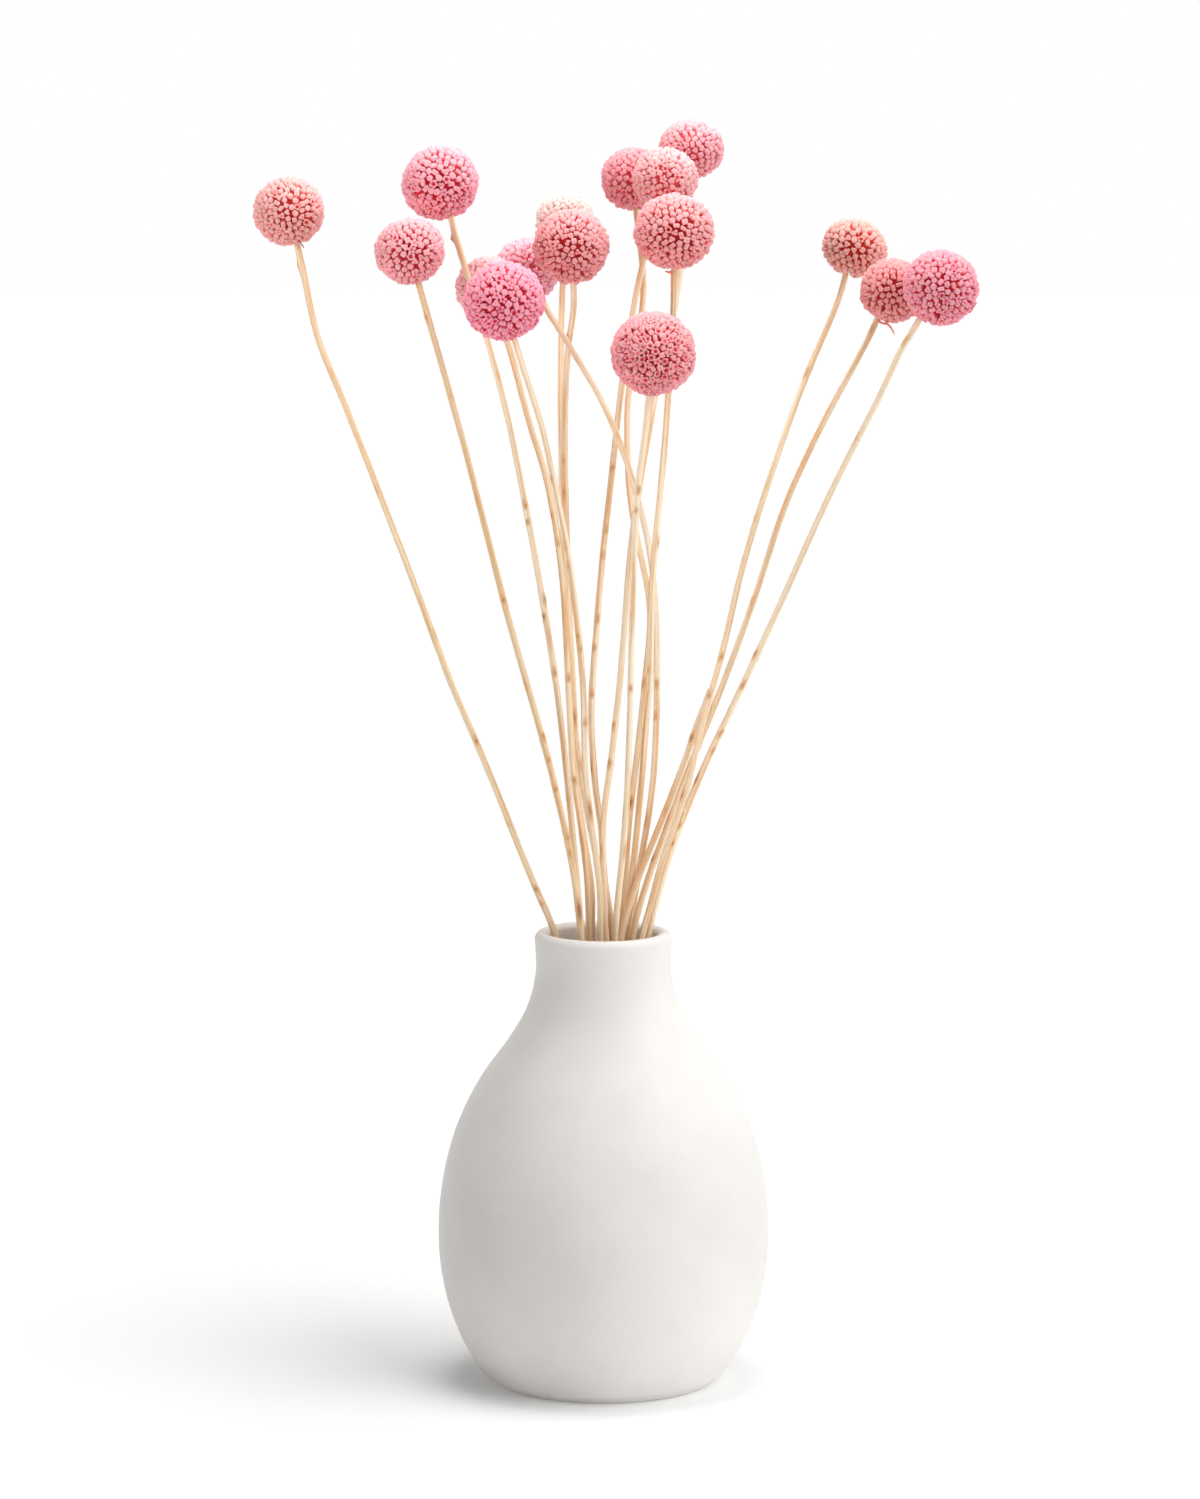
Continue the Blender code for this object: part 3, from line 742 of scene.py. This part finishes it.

# A floret is drawn up from a small foot, ring by ring, one unit high and wide. One corner in three of a
# ring is pulled in by the notch, which leaves blunt lobes, and the last ring is the middle of its crown.
# A ring's tip value is 0 in the depth of the head, where the dye is darkened as painted shade, and 1 at the
# pale ends of the lobes, whose paleness runs down their sides as painted light. The stretch makes a floret
# longer one way than the other.
FLORET_FORMS = {
    "round_knob": Form(5, 0.88, 1.0, (
        Ring(0.28, 0.34, 0.0), Ring(0.64, 0.36, 0.74), Ring(0.88, 0.40, 1.0), Ring(1.0, 0.27, 1.0),
        Ring(1.02, 0.10, 1.0))),
    "square_knob": Form(4, 0.82, 1.1, (
        Ring(0.28, 0.34, 0.0), Ring(0.64, 0.37, 0.74), Ring(0.88, 0.42, 1.0), Ring(1.0, 0.29, 1.0),
        Ring(1.0, 0.10, 0.90))),
    "long_knob": Form(4, 0.78, 1.55, (
        Ring(0.28, 0.33, 0.0), Ring(0.64, 0.36, 0.74), Ring(0.87, 0.41, 1.0), Ring(1.0, 0.28, 1.0),
        Ring(1.0, 0.10, 0.90))),
    "cleft_knob": Form(3, 0.68, 1.15, (
        Ring(0.28, 0.33, 0.0), Ring(0.64, 0.37, 0.74), Ring(0.87, 0.44, 1.0), Ring(1.0, 0.31, 1.0),
        Ring(0.95, 0.10, 0.75))),
    "star": Form(5, 0.62, 1.0, (
        Ring(0.28, 0.32, 0.0), Ring(0.64, 0.42, 0.60), Ring(0.92, 0.56, 1.0), Ring(1.0, 0.40, 1.0),
        Ring(0.86, 0.12, 0.45))),
    "cup": Form(5, 0.78, 1.1, (
        Ring(0.28, 0.32, 0.0), Ring(0.64, 0.42, 0.60), Ring(0.96, 0.50, 1.0), Ring(1.0, 0.38, 1.0),
        Ring(0.74, 0.17, 0.10))),
}
LOBE_CORNERS = 3
# Painted shade: the notches between the lobes are darker.
NOTCH_TIP = 0.60


def model_floret(form):
    # Returns the corners, faces and tip values of one floret, one unit wide and high.
    lobes, notch, stretch, rings = FLORET_FORMS[form]
    start_fresh()
    bpy.ops.mesh.primitive_circle_add(
        vertices=LOBE_CORNERS * lobes, radius=rings[0].radius, fill_type="NGON",
        location=(0.0, 0.0, rings[0].height))
    floret = bpy.context.object
    open_for_editing(floret, "VERT")
    bpy.ops.mesh.select_all(action="DESELECT")
    bpy.ops.object.mode_set(mode="OBJECT")
    for index, corner in enumerate(floret.data.vertices):
        corner.select = index % LOBE_CORNERS == 0
    bpy.ops.object.mode_set(mode="EDIT")
    bpy.ops.transform.resize(value=(notch, notch, 1.0), center_override=(0.0, 0.0, 0.0))
    bpy.ops.mesh.select_mode(type="FACE")
    bpy.ops.mesh.select_all(action="SELECT")
    for before, ring in zip(rings, rings[1:]):
        rise = (0.0, 0.0, ring.height - before.height)
        bpy.ops.mesh.extrude_region_move(TRANSFORM_OT_translate={"value": rise})
        scale = ring.radius / before.radius
        bpy.ops.transform.resize(value=(scale, scale, 1.0), center_override=(0.0, 0.0, ring.height))
    bpy.ops.object.mode_set(mode="OBJECT")
    bpy.ops.object.transform_apply(location=True, rotation=False, scale=False)
    corners = np.array([vertex.co for vertex in floret.data.vertices])
    faces = [tuple(face.vertices) for face in floret.data.polygons]
    reach = np.hypot(corners[:, 0], corners[:, 1])
    tip = np.zeros(len(corners))
    for ring in rings:
        level = np.abs(corners[:, 2] - ring.height) < 0.001
        notched = level & (reach < ring.radius * (1.0 + notch) / 2.0)
        tip[level] = ring.tip
        tip[notched] *= NOTCH_TIP
    corners[:, 0] *= math.sqrt(stretch)
    corners[:, 1] /= math.sqrt(stretch)
    bpy.data.objects.remove(floret)
    return corners, faces, tip


def floret_places(count, draw):
    # Scatters points over a ball, then lets each push its neighbours away, so that they stand evenly. The
    # pitch is what is between two of them then, and each starts a golden angle on from the last.
    pitch = math.sqrt(8.0 * math.pi / (math.sqrt(3.0) * count))
    shift = FLORET_JITTER * pitch
    turn = draw.uniform(0.0, 2.0 * math.pi)
    places = []
    for index in range(count):
        up = 1.0 - (2.0 * index + 1.0) / count
        angle = turn + index * math.pi * (3.0 - math.sqrt(5.0))
        ring = math.sqrt(1.0 - up * up)
        place = Vector((ring * math.cos(angle), ring * math.sin(angle), up))
        places.append(place + Vector([draw.uniform(-shift, shift) for axis in range(3)]))
    places = np.array([place.normalized() for place in places])
    for step in range(SPREAD_STEPS):
        apart = places[:, None, :] - places[None, :, :]
        distance = np.sqrt((apart ** 2).sum(axis=2)) + np.eye(count)
        crowding = np.clip(pitch - distance, 0.0, None) * (1.0 - np.eye(count))
        places = places + SPREAD_PUSH * (apart * (crowding / distance)[:, :, None]).sum(axis=1)
        places /= np.linalg.norm(places, axis=1)[:, None]
    return [Vector(place) for place in places]


KNOBS = ("round_knob", "square_knob", "long_knob", "cleft_knob")
OPEN_FORMS = ("cup", "star")

Bloom = namedtuple("Bloom", "pit body tip cups spacing")
# Pit colours are the dye in the depth of a head, and most are darkened there as painted shade.
SALMON_PIT = (0.62, 0.05, 0.035, 1.0)
PINK_PIT = (0.66, 0.03, 0.055, 1.0)
ROSE_PIT = (0.54, 0.03, 0.03, 1.0)
FADED_PIT = (0.90, 0.13, 0.17, 1.0)
PALE_PIT = (0.96, 0.66, 0.60, 1.0)
BLOOMS = {
    1: Bloom(SALMON_PIT, (0.91, 0.19, 0.17, 1.0), (0.90, 0.44, 0.42, 1.0), 0.10, 2.5),
    2: Bloom(PINK_PIT, (0.92, 0.15, 0.18, 1.0), (0.94, 0.43, 0.46, 1.0), 0.10, 2.7),
    3: Bloom(PINK_PIT, (0.92, 0.14, 0.20, 1.0), (0.94, 0.42, 0.48, 1.0), 0.10, 2.8),
    4: Bloom(FADED_PIT, (0.94, 0.27, 0.30, 1.0), (0.97, 0.50, 0.52, 1.0), 0.10, 2.6),
    5: Bloom(PINK_PIT, (0.92, 0.08, 0.15, 1.0), (0.96, 0.35, 0.45, 1.0), 0.15, 2.8),
    6: Bloom(FADED_PIT, (0.97, 0.30, 0.40, 1.0), (0.98, 0.48, 0.56, 1.0), 0.05, 2.5),
    7: Bloom(PALE_PIT, (0.97, 0.64, 0.58, 1.0), (0.98, 0.68, 0.63, 1.0), 0.05, 2.2),
    8: Bloom(ROSE_PIT, (0.88, 0.14, 0.14, 1.0), (0.90, 0.40, 0.41, 1.0), 0.10, 2.5),
    9: Bloom(FADED_PIT, (0.90, 0.21, 0.24, 1.0), (0.92, 0.36, 0.40, 1.0), 0.10, 2.5),
    10: Bloom(PINK_PIT, (0.93, 0.16, 0.17, 1.0), (0.94, 0.40, 0.43, 1.0), 0.50, 2.7),
    11: Bloom(FADED_PIT, (0.94, 0.26, 0.26, 1.0), (0.96, 0.50, 0.51, 1.0), 0.10, 2.6),
    12: Bloom(ROSE_PIT, (0.90, 0.15, 0.14, 1.0), (0.92, 0.42, 0.43, 1.0), 0.05, 2.7),
    13: Bloom(FADED_PIT, (0.94, 0.21, 0.24, 1.0), (0.97, 0.45, 0.49, 1.0), 0.10, 2.6),
    14: Bloom(SALMON_PIT, (0.90, 0.22, 0.17, 1.0), (0.90, 0.46, 0.41, 1.0), 0.05, 2.7),
    15: Bloom(ROSE_PIT, (0.84, 0.14, 0.13, 1.0), (0.86, 0.34, 0.34, 1.0), 0.05, 2.6),
    16: Bloom(PINK_PIT, (0.91, 0.13, 0.18, 1.0), (0.93, 0.37, 0.44, 1.0), 0.10, 2.6),
}


Ball = namedtuple("Ball", "middle upright width height")
Floret = namedtuple("Floret", "corners faces tip outward tone")


def measure_head(label, stem_top):
    # A head's upright runs from the top of its stem to its middle. Its width and height are in millimetres.
    low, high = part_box(label)
    middle = (low + high) / 2.0
    upright = (middle - stem_top).normalized().to_track_quat("Z", "Y")
    corners = np.array([vertex.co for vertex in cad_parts[label].data.vertices])
    own = (corners - np.array(middle)) @ np.array(upright.to_matrix())
    half = (own.max(axis=0) - own.min(axis=0)) / 2.0 / MM
    return Ball(middle, upright, half[0] + half[1], half[2] * 2.0)


def grow_floret(place, seat, ball, bloom, forms, draw):
    # The corners are in millimetres, from the middle of the head and along its upright.
    form = draw.choice(OPEN_FORMS if draw.random() < bloom.cups else KNOBS)
    shape, faces, tip = forms[form]
    outward = Vector((place.x / ball.width, place.y / ball.width, place.z / ball.height)).normalized()
    lean = Vector([draw.gauss(0.0, math.tan(FLORET_LEAN)) for axis in range(3)])
    outward = (outward + lean * LEAN_SHARE).normalized()
    spin = Quaternion((0.0, 0.0, 1.0), draw.uniform(0.0, 2.0 * math.pi))
    turn = outward.to_track_quat("Z", "Y") @ spin
    size = bloom.spacing * draw.uniform(*FLORET_WIDTHS)
    tall = FLORET_LENGTH * draw.uniform(*FLORET_LENGTHS)
    top = 1.0 + draw.uniform(*FLORET_SEATS)
    corners = shape * np.array([size, size, tall])
    rough = np.random.default_rng(draw.randrange(10 ** 6))
    corners[:, :2] *= rough.uniform(*FLORET_CORNERS, (len(shape), 1))
    corners[:, 2] += rough.uniform(*CROWN_STEPS, len(shape)) * (shape[:, 2] > CROWN_LEVEL)
    foot = seat * top - outward * tall
    corners = corners @ np.array(turn.to_matrix()).T + np.array(foot)
    out_of_head = ball.upright @ outward
    # Painted light and shade: a floret is paler the more it faces up and darker the more it faces down.
    painted_light_from_above = 0.5 + 0.5 * out_of_head.z
    tone = TONE_BY_CHANCE * draw.random() + TONE_BY_PAINTED_LIGHT * painted_light_from_above
    return Floret(corners, faces, tip, np.array(out_of_head), tone)


def gather_florets(label, florets, ball):
    # Makes one mesh of a head's florets.
    faces = []
    start = 0
    for floret in florets:
        faces.extend(tuple(start + corner for corner in face) for face in floret.faces)
        start += len(floret.corners)
    corners = np.concatenate([floret.corners for floret in florets])
    points = corners @ np.array(ball.upright.to_matrix()).T * MM + np.array(ball.middle)
    mesh = bpy.data.meshes.new(label + "_florets")
    mesh.from_pydata(points.tolist(), [], faces)
    mesh.update()
    tones = [np.full(len(floret.corners), floret.tone) for floret in florets]
    write_attribute(mesh, "tip", np.concatenate([floret.tip for floret in florets]))
    write_attribute(mesh, "tone", np.concatenate(tones))
    head = bpy.data.objects.new(f"florets_of_{label}", mesh)
    bpy.context.scene.collection.objects.link(head)
    return head


def plant_head(number, forms):
    # Plants florets all over a head, but for the place where its stem comes in.
    label = f"head_{number:02d}"
    bloom = BLOOMS[number]
    draw = random.Random(number)
    stem_top = centre_line(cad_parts[f"stem_{number:02d}"])[-1] * MM
    ball = measure_head(label, stem_top)
    area = math.pi * ball.width * ball.height
    count = round(area / (bloom.spacing ** 2 * math.sqrt(3.0) / 2.0))
    florets = []
    for place in floret_places(count, draw):
        seat = Vector((place.x * ball.width / 2.0, place.y * ball.width / 2.0, place.z * ball.height / 2.0))
        if seat.z < 0.0 and math.hypot(seat.x, seat.y) < STEM_CLEARING:
            continue
        florets.append(grow_floret(place, seat, ball, bloom, forms, draw))
    head = gather_florets(label, florets, ball)
    # The core has no tip value, so it takes the pit colour, darkened as painted shade.
    core = model_core(ball)
    start_fresh()
    head.select_set(True)
    core.select_set(True)
    bpy.context.view_layer.objects.active = head
    bpy.ops.object.join()
    bpy.ops.object.shade_smooth()
    soften_light(head, np.concatenate([
        np.tile(floret.outward, (len(floret.corners), 1)) for floret in florets]))
    dye = floret_material(f"dyed_florets_{number:02d}", bloom.pit, bloom.body, bloom.tip)
    head.data.materials.clear()
    head.data.materials.append(dye)
    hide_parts(label)
    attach(head, BODY)
    return head


def soften_light(head, outwards):
    # Light soaks through the soft florets, so their normals lean towards the way out of the head.
    normals = np.zeros(len(head.data.vertices) * 3)
    head.data.vertices.foreach_get("normal", normals)
    normals = normals.reshape(-1, 3)
    florets = normals[:len(outwards)] * (1.0 - SOFT_LIGHT) + outwards * SOFT_LIGHT
    normals[:len(outwards)] = florets / np.linalg.norm(florets, axis=1)[:, None]
    head.data.normals_split_custom_set_from_vertices(normals.tolist())


def model_core(ball):
    # The soft ball that the florets grow from.
    start_fresh()
    bpy.ops.mesh.primitive_ico_sphere_add(subdivisions=4, radius=1.0, location=(0.0, 0.0, 0.0))
    core = bpy.context.object
    across = (ball.width / 2.0 - CORE_DEPTH) * MM
    up = (ball.height / 2.0 - CORE_DEPTH) * MM
    scale = Matrix.Diagonal((across, across, up, 1.0))
    core.data.transform(Matrix.Translation(ball.middle) @ ball.upright.to_matrix().to_4x4() @ scale)
    return core


def light_studio():
    world = bpy.data.worlds.new("studio")
    bpy.context.scene.world = world
    world.use_nodes = True
    sky = world.node_tree.nodes["Background"]
    sky.inputs["Color"].default_value = SKY_COLOR
    sky.inputs["Strength"].default_value = SKY_STRENGTH
    for sun in SUNS:
        add_sun(sun)
    for softbox in SOFTBOXES:
        add_softbox(softbox)


def add_softbox(softbox):
    lamp = bpy.data.lights.new(softbox.name, "AREA")
    lamp.color = SOFTBOX_COLOR
    lamp.shape = "DISK"
    lamp.size = softbox.size * MM
    lamp.energy = softbox.power
    lamp.spread = math.radians(softbox.spread)
    holder = bpy.data.objects.new(softbox.name, lamp)
    bpy.context.scene.collection.objects.link(holder)
    holder.location = Vector(softbox.place) * MM
    holder.rotation_mode = "QUATERNION"
    backwards = Vector(softbox.place) - Vector(softbox.aim)
    holder.rotation_quaternion = backwards.to_track_quat("Z", "Y")
    holder.visible_camera = False


def add_sun(sun):
    # A far, broad light: around is counted from the front to the right, height from the floor up.
    lamp = bpy.data.lights.new(sun.name, "SUN")
    lamp.color = SUN_COLOR
    lamp.energy = sun.strength
    lamp.angle = math.radians(sun.spread)
    holder = bpy.data.objects.new(sun.name, lamp)
    bpy.context.scene.collection.objects.link(holder)
    around = math.radians(sun.around)
    height = math.radians(sun.height)
    towards = Vector((
        math.cos(height) * math.sin(around), -math.cos(height) * math.cos(around), math.sin(height)))
    holder.rotation_mode = "QUATERNION"
    holder.rotation_quaternion = towards.to_track_quat("Z", "Y")


def paper_material():
    # The softboxes light only the floor near the vase, so further off it is lit from within.
    nodes = Nodes("white_paper")
    length = {"operation": "LENGTH"}
    distance = nodes.add("ShaderNodeVectorMath", length, {"Vector": nodes.place()}, "Value")
    reach = 1.0 + (distance / SOFTBOX_REACH) ** 2.0
    glow = FAR_GLOW - (FAR_GLOW - NEAR_GLOW) / (reach * reach)
    nodes.plug(nodes.shader.inputs["Emission Color"], glow)
    return nodes.finish(FLOOR_WHITE, roughness=0.9, Specular_IOR_Level=0.0, Emission_Strength=1.0)


def build_stage():
    start_fresh()
    bpy.ops.mesh.primitive_circle_add(
        vertices=96, radius=STAGE_RADIUS, fill_type="NGON", location=(0.0, 0.0, -STAGE_DROP))
    floor = bpy.context.object
    floor.name = "studio_floor"
    floor.data.materials.append(paper_material())
    bpy.ops.mesh.primitive_uv_sphere_add(
        segments=48, ring_count=24, radius=BACKDROP_RADIUS, location=(0.0, 0.0, 0.0))
    dome = bpy.context.object
    dome.name = "lit_backdrop"
    lit_white = Nodes("lit_white")
    dome.data.materials.append(lit_white.finish(
        BLACK, roughness=1.0, Emission_Color=WHITE, Emission_Strength=1.0, Specular_IOR_Level=0.0))
    dome.visible_diffuse = False
    dome.visible_shadow = False
    dome.visible_transmission = False


def place_camera():
    camera = bpy.data.cameras.new("photo_camera")
    camera.sensor_width = SENSOR_SIZE
    camera.sensor_height = SENSOR_SIZE
    camera.sensor_fit = "AUTO"
    camera.lens = SENSOR_SIZE * FOCAL_PIXELS / PHOTO_HEIGHT_PIXELS
    camera.clip_end = 100.0
    holder = bpy.data.objects.new("photo_camera", camera)
    bpy.context.scene.collection.objects.link(holder)
    holder.location = EYE * MM
    holder.rotation_euler = (math.radians(90.0) - LOOKING_DOWN, 0.0, 0.0)
    bpy.context.scene.camera = holder


def main():
    bpy.context.scene.view_settings.view_transform = "Standard"
    place_camera()
    light_studio()
    build_stage()
    vase = turn_vase()
    vase.data.materials.append(ceramic_material())
    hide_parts("vase")
    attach(vase, BODY)
    blank = model_stem_blank()
    straw = straw_material()
    for number in STRAW_MARKS:
        bend_stem(number, blank, straw)
    for number in FIBRES:
        hang_fibre(number, blank)
    bpy.data.objects.remove(blank)
    forms = {form: model_floret(form) for form in FLORET_FORMS}
    for number in BLOOMS:
        plant_head(number, forms)


main()
